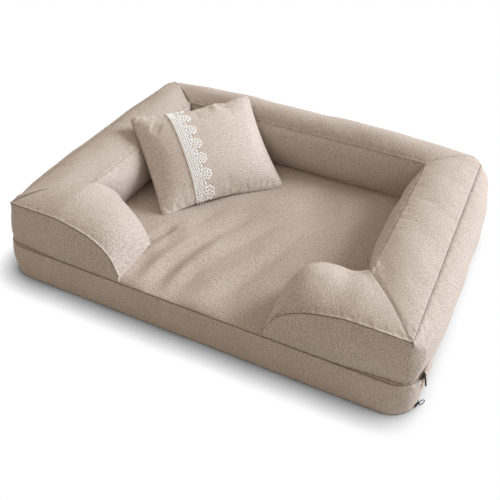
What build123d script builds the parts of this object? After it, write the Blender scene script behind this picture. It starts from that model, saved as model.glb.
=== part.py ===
from build123d import *
import math
import os

# A dog bed: a padded base mattress, a stuffed bolster round three sides with two
# short front wings, and a loose scatter pillow with a lace band.
# Millimetres. X runs to the right along the front, Y towards the back, Z up.
# The origin is the middle of the flat underside.

# Cloth and filling
cover_thickness = 2.0
filling_slack = 0.4
seat_clearance = 0.3
overrun = 60.0

# Base mattress
base_length = 900.0
base_depth = 676.0
base_height = 84.0
base_corner_radius = 60.0
band_bulge = 5.0
band_level_shares = (0.0, 0.25, 0.5, 0.75, 1.0)
mattress_crown = 6.0
crown_margin = 14.0
crown_place_shares = (-1.0, -0.6, 0.0, 0.6, 1.0)
crown_rise_shares = (0.08, 0.75, 1.0, 0.75, 0.08)

# Bolster, measured at its sewn edges and in from the edge of the mattress
arm_setback = 36.0
back_setback = 22.0
outer_seam_height = 178.0
inner_seam_height = 185.0
arm_width = 113.0
back_width = 95.0
wing_width = 133.0
corner_crown = 14.0
arm_crown = 14.0
back_crown = 29.0
arm_flare = 29.0
back_flare = 15.0
wing_flare = 15.0
inner_lean = 10.0
arm_wall_bulge = 28.0
back_wall_bulge = 22.0
wing_wall_bulge = 13.0
inner_wall_bulge = 21.0
side_chords = 6
flat_limit = 0.0000001
corner_flare_share = 0.55
corner_bulge_share = 0.35
inner_bulge_share = 0.3
run_station_shares = (-1.0, -0.92, -0.75, -0.4, 0.4, 0.75, 0.92, 1.0)

# Front wings, from the inner edge of the arm to the tip
wing_tip_gap = 310.0
wing_foot_depth = 206.0
wing_slope_bulge = 12.0
wing_reach_shares = (0.21, 0.45, 0.68, 0.84, 0.93, 0.98, 1.0)
wing_height_shares = (0.945, 0.86, 0.72, 0.53, 0.33, 0.18, 0.12)
wing_depth_shares = (0.92, 0.83, 0.72, 0.63, 0.58, 0.55, 0.53)
left_hump_shares = (0.245, 0.26, 0.28, 0.27, 0.22, 0.15, 0.08)
right_hump_shares = (0.26, 0.345, 0.44, 0.455, 0.41, 0.3, 0.14)
wing_end_bulge_share = 0.12

# Scatter pillow
pillow_width = 291.0
pillow_height = 243.0
pillow_waist = 10.0
pillow_edge = 3.0
pillow_front_bulge = 48.0
pillow_back_bulge = 42.0
pillow_cloth = 1.5
pillow_turn = 51.0
pillow_tilt = 34.0
pillow_beside_arm = 130.0
pillow_before_back = 150.0
pillow_above_base = 73.2
pillow_station_shares = (-1.0, -0.88, -0.62, 0.0, 0.62, 0.88, 1.0)
pillow_fullness_shares = (0.0, 0.336, 0.783, 1.0, 0.783, 0.336, 0.0)
pillow_filling_gap = 7.0

# Lace band on the pillow
lace_width = 43.0
lace_thickness = 1.0
lace_offset = -47.5
lace_flowers = 6
lace_pitch = 36.0
lace_end_gap = 9.0
lace_flower_radius = 12.0
lace_petals = 5
lace_petal_share = 0.58
lace_eyelet_radius = 2.4
lace_eyelet_sides = 6

# Coil zips
zip_groove_height = 9.0
zip_base_depth = 1.0
zip_bolster_depth = 5.0
zip_tape_thickness = 0.8
zip_coil_width = 4.6
zip_coil_thickness = 2.0
zip_running_clearance = 0.25
zip_length = 560.0
zip_front_overlap = 20.0
zip_stop_length = 3.0
base_zip_height = 9.5
slider_length = 11.8
slider_width = 8.4
slider_plate = 1.2
slider_crown_width = 2.0
ring_wire = 1.6
ring_wire_sides = 8
ring_diameter = 14.0
ring_rest_turn = 50.0
bar_width = 5.0
bar_thickness = 1.8
bar_length = 24.0
bar_pin = 1.2
bar_fit = 0.08
bar_eye_radius = 1.5
bar_ear = 1.2
bar_rest_tilt = 15.0

# Lines that follow from the sizes above
outer_x = base_length / 2 - arm_setback
outer_y = base_depth / 2 - back_setback
inner_x = outer_x - arm_width
inner_back_y = outer_y - back_width
inner_front_y = wing_width - outer_y
wing_tip_x = wing_tip_gap / 2
wall_height = outer_seam_height - base_height

os.makedirs("parts", exist_ok=True)


def write(name, shape):
    export_step(shape, f"parts/{name}.step")


# A station is a closed outline across a stuffed run. Its corners are pairs of
# distance outwards and height, and each side may bow outwards along an arc.


def side_points(start, end, bulge):
    """Points along one side, without its last, as chords where it bows outwards."""
    if bulge == 0:
        return [start]
    run = end[0] - start[0]
    rise = end[1] - start[1]
    length = math.hypot(run, rise)
    half_turn = 2 * math.atan(2 * bulge / length)
    radius = length / 2 / math.sin(half_turn)
    points = []
    for i in range(side_chords):
        turn = half_turn * (2 * i / side_chords - 1)
        along = (1 + math.sin(turn) / math.sin(half_turn)) / 2
        proud = radius * (math.cos(turn) - math.cos(half_turn)) / length
        points.append(
            (start[0] + run * along + rise * proud, start[1] + rise * along - run * proud)
        )
    return points


def station_points(place, station, corners, bulges):
    """Points round a station, and for each whether its side bows inwards."""
    points = []
    inward = []
    for i, bulge in enumerate(bulges):
        side = side_points(corners[i], corners[(i + 1) % len(corners)], bulge)
        points += [Vector(*place(out, up, station)) for out, up in side]
        inward += [bulge < 0] * len(side)
    return points, inward


def flat_face(*points):
    return Face(Wire.make_polygon(points))


def facets(near, next_near, next_far, far, turned):
    """One flat facet between four points, or two that meet at a diagonal."""
    across = next_near - near
    out_of_plane = across.cross(far - near).normalized().dot(next_far - near)
    if abs(out_of_plane) < flat_limit:
        return [flat_face(near, next_near, next_far, far)]
    if turned:
        return [flat_face(near, next_near, far), flat_face(next_near, next_far, far)]
    return [flat_face(near, next_near, next_far), flat_face(near, next_far, far)]


def faceted_solid(place, sections):
    """Solid through the outlines. Sides that bow inwards turn their diagonals, so
    that both faces of a panel and the filling behind it run parallel."""
    outlines = [station_points(place, *section) for section in sections]
    faces = [flat_face(*outlines[0][0]), flat_face(*outlines[-1][0])]
    for (near, inward), (far, _) in zip(outlines, outlines[1:]):
        for i, turned in enumerate(inward):
            j = (i + 1) % len(near)
            faces += facets(near[i], near[j], far[j], far[i], turned)
    return Solid(Shell(faces))


def stuffed_run(place, stations, outline):
    """Solid through the outline that the function gives at each station."""
    return faceted_solid(place, [(station, *outline(station)) for station in stations])


# The straight runs of the bolster are two arms and the back. They are fullest in
# the middle, and their walls draw in at the mitred corners.


def run_stations(half_length):
    inside = [share * half_length for share in run_station_shares]
    return [-half_length - overrun, *inside, half_length + overrun]


def run_corners(run, station, inset):
    """Foot, outer seam, inner seam and inner foot, drawn in from the cloth face."""
    full = 1 - min(abs(station) / run["half_length"], 1) ** 4
    spread_share = corner_flare_share + (1 - corner_flare_share) * full
    bulge_share = corner_bulge_share + (1 - corner_bulge_share) * full
    inner_share = inner_bulge_share + (1 - inner_bulge_share) * full
    corners = (
        (run["outer"] + run["flare"] * spread_share - inset, base_height + inset),
        (run["outer"] - inset, outer_seam_height - inset),
        (run["inner"] + inset, inner_seam_height - inset),
        (run["inner"] - inner_lean + inset, base_height + inset),
    )
    crown = corner_crown + (run["crown"] - corner_crown) * full
    bulges = (run["bulge"] * bulge_share, crown, inner_wall_bulge * inner_share, 0)
    return corners, bulges


def run_panel(run, side):
    """One sewn panel of a run, a single cloth thick, between two of its seams."""

    def outline(station):
        outside, bulges = run_corners(run, station, 0)
        inside, _ = run_corners(run, station, cover_thickness)
        corners = (outside[side], outside[side + 1], inside[side + 1], inside[side])
        return corners, (bulges[side], 0, -bulges[side], 0)

    return stuffed_run(run["place"], run_stations(run["half_length"]), outline)


def run_lining(run):
    """Flat bottom lining between the two feet of a run."""

    def outline(station):
        inside, _ = run_corners(run, station, cover_thickness + filling_slack)
        low = base_height
        high = base_height + cover_thickness
        out = inside[0][0]
        back = inside[3][0]
        return ((out, low), (out, high), (back, high), (back, low)), (0, 0, 0, 0)

    return stuffed_run(run["place"], run_stations(run["half_length"]), outline)


def run_body(run, inset):
    def outline(station):
        return run_corners(run, station, inset)

    return stuffed_run(run["place"], run_stations(run["half_length"]), outline)


def arm(side):
    return {
        "place": lambda outwards, height, station: (side * outwards, station, height),
        "half_length": outer_y,
        "inner": inner_x,
        "outer": outer_x,
        "flare": arm_flare,
        "bulge": arm_wall_bulge,
        "crown": arm_crown,
    }


back = {
    "place": lambda outwards, height, station: (station, outwards, height),
    "half_length": outer_x,
    "inner": inner_back_y,
    "outer": outer_y,
    "flare": back_flare,
    "bulge": back_wall_bulge,
    "crown": back_crown,
}

# Plan regions that the mitre seams leave to each run. Each mitre goes from an
# inner corner through the outer corner.

corner_out_x = outer_x + overrun * arm_flare / back_flare
corner_out_y = outer_y + overrun
corner_in = inner_wall_bulge * 2
back_mitre = [
    (inner_x - corner_in, inner_back_y - corner_in),
    (inner_x, inner_back_y),
    (outer_x, outer_y),
    (corner_out_x, corner_out_y),
]


def region(points, side=1):
    """Upright prism over a plan outline, taller than the whole bolster."""
    outline = make_face(Polyline(*[(side * x, y) for x, y in points], close=True))
    low = base_height - overrun
    return extrude(Pos(0, 0, low) * outline, amount=inner_seam_height + overrun)


def arm_region(side):
    front_mitre = [
        (corner_out_x, -corner_out_y),
        (outer_x, -outer_y),
        (inner_x, inner_front_y),
        (inner_x - corner_in, inner_front_y),
    ]
    return region([*back_mitre, *front_mitre], side)


def back_region():
    return region([*back_mitre, *[(-x, y) for x, y in reversed(back_mitre)]])


def wing_region(side):
    front_mitre = [
        (corner_out_x, -corner_out_y),
        (outer_x, -outer_y),
        (inner_x, inner_front_y),
    ]
    return region([*front_mitre, (inner_x, 0), (0, 0), (0, -corner_out_y)], side)


def run_pieces(run, plan):
    panels = {
        "outer_wall": run_panel(run, 0),
        "top": run_panel(run, 1),
        "inner_wall": run_panel(run, 2),
        "bottom_lining": run_lining(run),
        "filling": run_body(run, cover_thickness + filling_slack),
    }
    return {name: shape & plan for name, shape in panels.items()}


# The front wings. One panel runs over from the front seam as a hump, slopes down
# inwards to the mattress and falls away to a rounded tip.


def hump(front, foot, rise_share):
    """Middle of one arc from the front seam to the foot, and the bulge of its halves."""
    run = foot[0] - front[0]
    rise = foot[1] - front[1]
    chord = math.hypot(run, rise)
    bulge = rise_share * chord
    middle_out = (front[0] + foot[0]) / 2 + bulge * rise / chord
    middle_up = (front[1] + foot[1]) / 2 - bulge * run / chord
    radius = (chord**2 / 4 + bulge**2) / (2 * bulge)
    half = math.hypot(middle_out - front[0], middle_up - front[1])
    return (middle_out, middle_up), radius - math.sqrt(radius**2 - half**2 / 4)


def wing_root_section(reach, inset):
    """Across the wing at its mitre, where it matches the arm."""
    near = max(0, min(1, (outer_x - reach) / arm_width))
    spread_share = corner_flare_share + (1 - corner_flare_share) * near
    bulge_share = corner_bulge_share + (1 - corner_bulge_share) * near
    corners = (
        (outer_y + wing_flare * spread_share - inset, base_height + inset),
        (outer_y - inset, outer_seam_height - inset),
        (-inner_front_y, inner_seam_height - inset),
        (outer_y - wing_foot_depth + inset, base_height + inset),
    )
    return reach, corners, (wing_wall_bulge * bulge_share, corner_crown, wing_slope_bulge, 0)


def wing_end_section(shares, inset):
    """Across the wing between the arm and the tip."""
    reach_share, height_share, depth_share, hump_share = shares
    reach = inner_x - (inner_x - wing_tip_x) * reach_share + inset * reach_share**4
    front_foot = (outer_y + wing_flare - inset, base_height + inset)
    front_seam = (
        outer_y + wing_flare * (1 - height_share) - inset,
        base_height + wall_height * height_share - inset,
    )
    foot = (outer_y - wing_foot_depth * depth_share + inset, base_height + inset)
    middle, half_bulge = hump(front_seam, foot, hump_share)
    wall = wing_end_bulge_share * wall_height * height_share
    return reach, (front_foot, front_seam, middle, foot), (wall, half_bulge, half_bulge, 0)


def wing_body(side, inset):
    roots = (outer_x + overrun, outer_x, (outer_x + inner_x) / 2, inner_x)
    humps = left_hump_shares if side < 0 else right_hump_shares
    shares = zip(wing_reach_shares, wing_height_shares, wing_depth_shares, humps)
    sections = [wing_root_section(reach, inset) for reach in roots]
    sections += [wing_end_section(row, inset) for row in shares]

    def place(outwards, height, station):
        return (side * station, -outwards, height)

    return faceted_solid(place, sections)


def behind_front_seam():
    """Space behind the front top seam, upright at the corners and leaning between."""
    low = base_height - overrun
    high = inner_seam_height + overrun
    seam_y = cover_thickness - outer_y
    lean = wing_flare / wall_height
    low_y = seam_y - lean * (outer_seam_height - low)
    high_y = seam_y + lean * (high - outer_seam_height)
    leaning = [(low_y, low), (0, low), (0, high), (high_y, high)]
    upright = [(seam_y, low), (0, low), (0, high), (seam_y, high)]
    middle = extrude(Plane.YZ * make_face(Polyline(*leaning, close=True)), inner_x, both=True)
    side = extrude(Plane.YZ * make_face(Polyline(*upright, close=True)), corner_out_x, both=True)
    between = extrude(Plane.YZ * Rectangle(corner_out_x, corner_out_x), inner_x, both=True)
    return middle + (side - between)


def wing_pieces(side):
    run = arm(side)
    beside_arm = run_body(run, -seat_clearance) & arm_region(side)
    plan = wing_region(side) - beside_arm
    hollow = wing_body(side, cover_thickness)
    shell = (wing_body(side, 0) - hollow) & plan
    reach = corner_out_x + overrun
    seam_level = base_height + cover_thickness
    above = Pos(0, 0, seam_level + reach / 2) * Box(2 * reach, 2 * reach, reach)
    upper = shell & above
    behind = behind_front_seam()
    return {
        "face": upper - behind,
        "top": upper & behind,
        "bottom_lining": shell - above,
        "filling": wing_body(side, cover_thickness + filling_slack) & plan,
    }


# The base mattress has a foam slab in a zipped cover, with bulged side bands.


def base_body(inset):
    """Slab with rounded corners and bulged sides, drawn in from its cloth face."""
    wires = []
    for share in band_level_shares:
        level = inset + (base_height - 2 * inset) * share
        draw = band_bulge * (2 * share - 1) ** 2 + inset
        radius = base_corner_radius - draw
        outline = RectangleRounded(base_length - 2 * draw, base_depth - 2 * draw, radius)
        wires.append((Pos(0, 0, level) * outline).wire())
    return Solid.make_loft(wires, ruled=True)


crown_half_length = inner_x - inner_lean - crown_margin
crown_front_y = wing_foot_depth - outer_y + crown_margin
crown_back_y = inner_back_y - inner_lean - crown_margin


def crown(level):
    """Low crown of the mattress where the pet lies, on a flat underside."""

    def place(along, height, station):
        return (station, along, height)

    ends = ((crown_back_y, level), (crown_front_y, level))
    sections = []
    for place_share, rise_share in zip(crown_place_shares, crown_rise_shares):
        bulges = (mattress_crown * rise_share, 0)
        sections.append((crown_half_length * place_share, ends, bulges))
    return faceted_solid(place, sections)


def level_slab(low, high):
    return Pos(0, 0, (low + high) / 2) * Box(2 * base_length, 2 * base_depth, high - low)


def base_pieces():
    full = base_body(0)
    top_level = base_height - cover_thickness
    plate = full & level_slab(top_level, base_height)
    band = (full & level_slab(cover_thickness, top_level)) - base_body(cover_thickness)
    straight_half = base_depth / 2 - base_corner_radius
    side = Pos(base_length / 2, 0, base_height / 2) * Box(
        base_corner_radius, 2 * straight_half, 2 * base_height
    )
    inset = cover_thickness + filling_slack
    return {
        "top_panel": plate + crown(base_height) - crown(top_level),
        "side_band": band - side,
        "zip_band": band & side,
        "bottom_panel": full & level_slab(0, cover_thickness),
        "foam": base_body(inset) + crown(base_height - inset),
    }


# Coil zips. Each chain lies in a groove along the right side, its tape against
# the back of the groove, and its slider rides over the coil from outside.

zip_front_y = base_corner_radius - base_depth / 2 - zip_front_overlap
zip_back_y = zip_front_y + zip_length
slider_rest_y = zip_front_y + zip_stop_length + zip_running_clearance + slider_length / 2
coil_out = zip_tape_thickness + zip_coil_thickness
plate_in = coil_out + zip_running_clearance
plate_out = plate_in + slider_plate
groove_size = (overrun, zip_length, zip_groove_height)
base_zip_x = base_length / 2 - band_bulge - zip_base_depth
bolster_zip_x = base_length / 2 - band_bulge - zip_bolster_depth


def zip_box(depth, length, width, out, along):
    """Box on the zip, from a depth outwards of the tape face and along it."""
    return Pos(out + depth / 2, along, 0) * Box(depth, length, width)


def zip_groove():
    return zip_box(*groove_size, 0, (zip_front_y + zip_back_y) / 2)


def zip_chain():
    middle = (zip_front_y + zip_back_y) / 2
    coil_length = zip_length - 2 * zip_stop_length
    tape = zip_box(zip_tape_thickness, zip_length, zip_groove_height, 0, middle)
    coil = zip_box(
        zip_coil_thickness, coil_length, zip_coil_width, zip_tape_thickness, middle
    )
    return tape + coil


def zip_stops():
    stops = []
    for end in (zip_front_y + zip_stop_length / 2, zip_back_y - zip_stop_length / 2):
        stops.append(
            zip_box(zip_coil_thickness, zip_stop_length, slider_width, zip_tape_thickness, end)
        )
    return Compound(stops)


def slider_body():
    """Plate over the coil, with a flange down each side of it."""
    flange_in = zip_coil_width / 2 + zip_running_clearance
    flange_out = slider_width / 2
    foot = zip_tape_thickness + zip_running_clearance
    plate = zip_box(slider_plate, slider_length, slider_width, plate_in, slider_rest_y)
    depth = plate_in - foot
    flange = zip_box(depth, slider_length, flange_out - flange_in, foot, slider_rest_y)
    shift = (flange_out + flange_in) / 2
    body = plate + Pos(0, 0, shift) * flange + Pos(0, 0, -shift) * flange
    corners = body.edges().filter_by(Axis.X).group_by(Axis.X)[-1]
    return fillet(corners, slider_width / 4)


def ring_slider():
    """Slider with an upright loop, whose hole takes the ring."""
    hole = ring_wire / 2 + zip_running_clearance
    wall = hole + slider_plate / 2
    loop = Pos(ring_axis_out, slider_rest_y, 0) * Cylinder(wall, slider_crown_width)
    neck = zip_box(ring_axis_out - plate_in, 2 * wall, slider_crown_width, plate_in, slider_rest_y)
    drilled = Pos(ring_axis_out, slider_rest_y, 0) * Cylinder(hole, 2 * slider_width)
    return slider_body() + (loop + neck - drilled)


def pull_ring():
    """Ring through the loop, standing upright and turned back along the zip."""
    radius = (ring_diameter - ring_wire) / 2
    section = Pos(radius, 0) * RegularPolygon(ring_wire / 2, ring_wire_sides)
    ring = Pos(radius, 0, 0) * revolve(section, Axis.Y)
    return Pos(ring_axis_out, slider_rest_y, 0) * (Rot(0, 0, ring_rest_turn) * ring)


def bar_slider():
    """Slider with two ears and a pin between them for the bar pull."""
    body = slider_body()
    ear_gap = bar_width + 2 * seat_clearance
    ear_place = (ear_gap + bar_ear) / 2
    wall = bar_eye_radius
    for side in (-1, 1):
        along = slider_rest_y + side * ear_place
        cheek = Pos(bar_axis_out, along, 0) * (Rot(90, 0, 0) * Cylinder(wall, bar_ear))
        neck = zip_box(bar_axis_out - plate_in, bar_ear, 2 * wall, plate_in, along)
        body += cheek + neck
    pin = Pos(bar_axis_out, slider_rest_y, 0) * (
        Rot(90, 0, 0) * Cylinder(bar_pin / 2, ear_gap + bar_ear)
    )
    return body + pin


def pull_bar():
    """Flat bar with an eye round the pin, hanging down and a little outwards."""
    eye = Rot(90, 0, 0) * Cylinder(bar_eye_radius, bar_width)
    blade = Pos(0, 0, -bar_length / 2) * Box(bar_thickness, bar_width, bar_length)
    ends = blade.edges().filter_by(Axis.X).group_by(Axis.Z)[0]
    blade = fillet(ends, bar_width / 4)
    bore = Rot(90, 0, 0) * Cylinder(bar_pin / 2 + bar_fit, 2 * bar_width)
    bar = Rot(0, -bar_rest_tilt, 0) * (eye + blade - bore)
    return Pos(bar_axis_out, slider_rest_y, 0) * bar


ring_axis_out = plate_out + ring_wire / 2 + zip_running_clearance + seat_clearance
bar_axis_out = plate_out + bar_eye_radius + seat_clearance
base_zip = Pos(base_zip_x, 0, base_zip_height)
bolster_zip = Pos(bolster_zip_x, 0, base_height)

# The scatter pillow, built flat and then leant across the back left corner.


def pillow_place(upwards, outwards, station):
    return (station, upwards, outwards)


def pillow_half(share):
    return pillow_height / 2 - pillow_waist * (1 - share**2)


def pillow_bulge(bulge, fullness, cut):
    return max(pillow_edge / 2 + (bulge - pillow_edge / 2) * fullness - cut, filling_slack)


def pillow_body(outline):
    """Solid through the outline that the function gives at each share of the width."""
    sections = []
    for share, fullness in zip(pillow_station_shares, pillow_fullness_shares):
        sections.append((pillow_width / 2 * share, *outline(share, fullness)))
    return faceted_solid(pillow_place, sections)


def pillow_panel(facing, bulge):
    """One face of the cover: facing is 1 for the front and -1 for the back."""

    def outline(share, fullness):
        high = pillow_half(share) * facing
        low = high - pillow_cloth * facing
        outside = pillow_bulge(bulge, fullness, 0)
        inside = pillow_bulge(bulge, fullness, pillow_cloth)
        corners = ((high, 0), (-high, 0), (-low, 0), (low, 0))
        return corners, (outside, 0, -inside, 0)

    return pillow_body(outline)


def pillow_filling():
    inset = pillow_cloth + filling_slack

    def outline(share, fullness):
        high = pillow_half(share) - inset
        front = pillow_bulge(pillow_front_bulge, fullness, inset)
        rear = pillow_bulge(pillow_back_bulge, fullness, inset)
        return ((high, 0), (-high, 0)), (front, rear)

    inside = Box(pillow_width - 2 * pillow_filling_gap, pillow_height, pillow_height)
    return pillow_body(outline) & inside


def lace_cloth():
    """Thin sheet that follows the front of the pillow, a little clear of it."""

    def outline(share, fullness):
        high = pillow_half(share)
        under = pillow_bulge(pillow_front_bulge, fullness, -seat_clearance)
        return ((high, 0), (-high, 0)), (under + lace_thickness, -under)

    return pillow_body(outline)


def lace_outline():
    """Band with one straight edge and a scalloped edge of pierced flowers."""
    spine = lace_width - lace_flower_radius
    left = lace_offset - lace_width / 2
    lowest = pillow_waist + lace_end_gap - pillow_height / 2
    band = Pos(left + spine / 2, 0) * Rectangle(spine, pillow_height)
    holes = Sketch()
    for i in range(lace_flowers):
        centre = Pos(left + spine, lowest + i * lace_pitch)
        band += centre * Circle(lace_flower_radius)
        eyelet = RegularPolygon(lace_eyelet_radius, lace_eyelet_sides)
        ring = PolarLocations(lace_flower_radius * lace_petal_share, lace_petals)
        holes += centre * Sketch([place * eyelet for place in ring])
    return extrude(band - holes, pillow_height, both=True)


def pillow_pieces():
    turn = math.radians(pillow_turn)
    tilt = math.radians(pillow_tilt)
    along = (math.cos(turn), math.sin(turn), 0)
    normal = (
        math.sin(turn) * math.sin(tilt),
        -math.cos(turn) * math.sin(tilt),
        math.cos(tilt),
    )
    centre = (
        pillow_beside_arm - inner_x,
        inner_back_y - pillow_before_back,
        base_height + pillow_above_base,
    )
    lean = Plane(origin=centre, x_dir=along, z_dir=normal).location
    pieces = {
        "front_panel": pillow_panel(1, pillow_front_bulge),
        "back_panel": pillow_panel(-1, pillow_back_bulge),
        "filling": pillow_filling(),
        "lace": lace_cloth() & lace_outline(),
    }
    return {name: lean * shape for name, shape in pieces.items()}


# The assembled bed.

grooves = [base_zip * zip_groove(), bolster_zip * zip_groove()]
for name, shape in base_pieces().items():
    if name != "bottom_panel":
        for groove in grooves:
            shape = shape - groove
    write(f"base_{name}", shape)

for label, side in (("left", -1), ("right", 1)):
    for name, shape in run_pieces(arm(side), arm_region(side)).items():
        if side == 1:
            shape = shape - grooves[1]
        write(f"{label}_arm_{name}", shape)
    for name, shape in wing_pieces(side).items():
        write(f"{label}_wing_{name}", shape)

for name, shape in run_pieces(back, back_region()).items():
    write(f"back_{name}", shape)

for name, shape in pillow_pieces().items():
    write(f"pillow_{name}", shape)

for label, place in (("base", base_zip), ("bolster", bolster_zip)):
    write(f"{label}_zip_chain", place * zip_chain())
    write(f"{label}_zip_stops", place * zip_stops())
write("base_zip_slider", base_zip * ring_slider())
write("base_zip_pull_ring", base_zip * pull_ring())
write("bolster_zip_slider", bolster_zip * bar_slider())
write("bolster_zip_pull_bar", bolster_zip * pull_bar())
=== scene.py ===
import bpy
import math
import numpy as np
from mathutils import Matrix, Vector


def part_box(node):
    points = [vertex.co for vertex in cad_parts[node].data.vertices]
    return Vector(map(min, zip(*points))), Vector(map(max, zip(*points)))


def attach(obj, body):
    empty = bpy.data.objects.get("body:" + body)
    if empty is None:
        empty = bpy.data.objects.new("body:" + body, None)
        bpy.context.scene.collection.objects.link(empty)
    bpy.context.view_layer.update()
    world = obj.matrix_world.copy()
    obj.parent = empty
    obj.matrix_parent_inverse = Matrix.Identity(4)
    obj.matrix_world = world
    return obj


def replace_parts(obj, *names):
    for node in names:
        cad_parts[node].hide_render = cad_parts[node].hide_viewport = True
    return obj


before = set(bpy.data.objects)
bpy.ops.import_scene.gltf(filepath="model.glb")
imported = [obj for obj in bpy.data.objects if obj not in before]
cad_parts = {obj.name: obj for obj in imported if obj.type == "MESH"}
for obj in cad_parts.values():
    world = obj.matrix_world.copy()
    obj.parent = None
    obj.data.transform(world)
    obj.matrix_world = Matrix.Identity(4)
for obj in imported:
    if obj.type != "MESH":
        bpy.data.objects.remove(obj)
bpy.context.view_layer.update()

# %% [markdown]
# # A stuffed dog bed with a scatter pillow
#
# The bed is sewn from one heathered linen cloth: a flat mattress, a bolster round
# three sides that ends in two sloping wings, and a loose pillow with a lace band.
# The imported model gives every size, so this script only makes the looks. Each soft
# piece is a closed grid of quads that follows its own panels, because a grid keeps
# the seam lines, the weave and the folds where a sewer would put them.

# %% [markdown]
# ## Camera
#
# The photograph looks down on the bed from the front, a little to the right. A
# camera is easiest to reason about as a target, two angles, a distance and a roll.

# %% Camera
camera_target = Vector((0.037357, -0.133557, 0.09375))
camera_turn = math.radians(24.0144)
camera_rise = math.radians(39.9137)
camera_roll = math.radians(2.2474)
camera_distance = 1.358356
camera_lens = 47.12

away = Vector((
    math.sin(camera_turn) * math.cos(camera_rise),
    -math.cos(camera_turn) * math.cos(camera_rise),
    math.sin(camera_rise),
))
level = Vector((math.cos(camera_turn), math.sin(camera_turn), 0))
upright = away.cross(level)
right = level * math.cos(camera_roll) + upright * math.sin(camera_roll)
up = upright * math.cos(camera_roll) - level * math.sin(camera_roll)

camera = bpy.data.objects.new("camera", bpy.data.cameras.new("camera"))
camera.data.lens = camera_lens
camera.data.sensor_width = 36
camera.matrix_world = Matrix.Translation(camera_target + away * camera_distance) @ Matrix(
    (right, up, away)
).transposed().to_4x4()
bpy.context.collection.objects.link(camera)
bpy.context.scene.camera = camera
print("camera at", [round(x, 3) for x in camera.matrix_world.translation])

# %% [markdown]
# ## Nodes
#
# Light, cloth, metal and lace are all made from nodes in this script. One helper adds
# a node, changes its settings, and fills its inputs with values or joins them to
# other nodes, so that each tree below reads as a list of what feeds what.

# %% Helpers for node trees
def add_node(tree, kind, inputs=None, **settings):
    """A node whose inputs are values, output sockets or nodes, which give their first output."""
    node = tree.nodes.new(kind)
    for name, value in settings.items():
        setattr(node, name, value)
    for key, value in (inputs or {}).items():
        if isinstance(value, bpy.types.Node):
            value = value.outputs[0]
        if isinstance(value, bpy.types.NodeSocket):
            tree.links.new(value, node.inputs[key])
        else:
            node.inputs[key].default_value = value
    return node


def math_node(tree, operation, *values, clamp=False):
    node = add_node(tree, "ShaderNodeMath", dict(enumerate(values)), operation=operation, use_clamp=clamp)
    return node.outputs[0]


def new_group(name, kind, inputs, outputs):
    """Node group and what it is given; inputs are (name, type) or (name, type, value)."""
    tree = bpy.data.node_groups.new(name, kind)
    for socket_name, socket_type, *value in inputs:
        socket = tree.interface.new_socket(socket_name, in_out="INPUT", socket_type=socket_type)
        if value:
            socket.default_value = value[0]
    for socket_name, socket_type in outputs:
        tree.interface.new_socket(socket_name, in_out="OUTPUT", socket_type=socket_type)
    return tree, tree.nodes.new("NodeGroupInput").outputs


def new_material(name, sockets):
    """Material whose Principled BSDF has these values on its own sockets."""
    material = bpy.data.materials.new(name)
    material.use_nodes = True
    surface = material.node_tree.nodes["Principled BSDF"]
    for socket, value in sockets.items():
        surface.inputs[socket].default_value = value
    return material


print("node helpers ready")

# %% [markdown]
# ## Light and floor
#
# The photograph is a studio cut-out: white all round, a broad light from behind on
# the right, a faint one from the left, and a soft shadow under the near edge. Big
# area lamps give the bed soft shadows. The white around the bed is only what the camera
# sees: it is no lamp. The shadow under the near edge is painted shade on the floor.

# %% Lamps
lamp_aim = Vector((0, 0, 0.1))
lamps = {
    "key_lamp": {"place": (5.1, 3.8, 3.4), "size": 4.2, "power": 655, "colour": (0.93, 0.97, 1.0)},
    "top_lamp": {"place": (-2.2, 0.4, 3.2), "size": 2.4, "power": 11, "colour": (0.97, 0.98, 1.0)},
}
for name, given in lamps.items():
    lamp = bpy.data.objects.new(name, bpy.data.lights.new(name, "AREA"))
    lamp.data.shape = "DISK"
    lamp.data.size = given["size"]
    lamp.data.energy = given["power"]
    lamp.data.color = given["colour"]
    lamp.location = given["place"]
    lamp.rotation_euler = (lamp_aim - Vector(given["place"])).to_track_quat("-Z", "Y").to_euler()
    bpy.context.collection.objects.link(lamp)
print("lamps", list(lamps))

# %% World, white to the camera, glass and metal, and a warm grey to the cloth
white = (1, 1, 1, 1)
world_shade = (1.0, 0.85, 0.67, 1)
world_strength = 0.52

world = bpy.data.worlds.new("studio")
world.use_nodes = True
tree = world.node_tree
tree.nodes.clear()
path = tree.nodes.new("ShaderNodeLightPath").outputs
seen = math_node(tree, "MAXIMUM", path["Is Camera Ray"], path["Is Glossy Ray"])
seen = math_node(tree, "MAXIMUM", seen, path["Is Transmission Ray"])
warm = add_node(tree, "ShaderNodeBackground", {"Color": world_shade, "Strength": world_strength})
plain = add_node(tree, "ShaderNodeBackground", {"Color": white, "Strength": 1})
mix = add_node(tree, "ShaderNodeMixShader", {"Fac": seen, 1: warm, 2: plain})
add_node(tree, "ShaderNodeOutputWorld", {"Surface": mix})
bpy.context.scene.world = world
bpy.context.scene.view_settings.view_transform = "Standard"
print("world", world.name)

# %% Floor, white to the eye, with a painted shadow where the bed hides it from the back right
floor_reach = 8.0
floor_grey = 0.62
shadow_reach = 0.066
shadow_heading = (0.42, 0.40, 0.82)
shadow_range = (0.30, 0.86)
shadow_depth = 0.10
shadow_samples = 16

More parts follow.
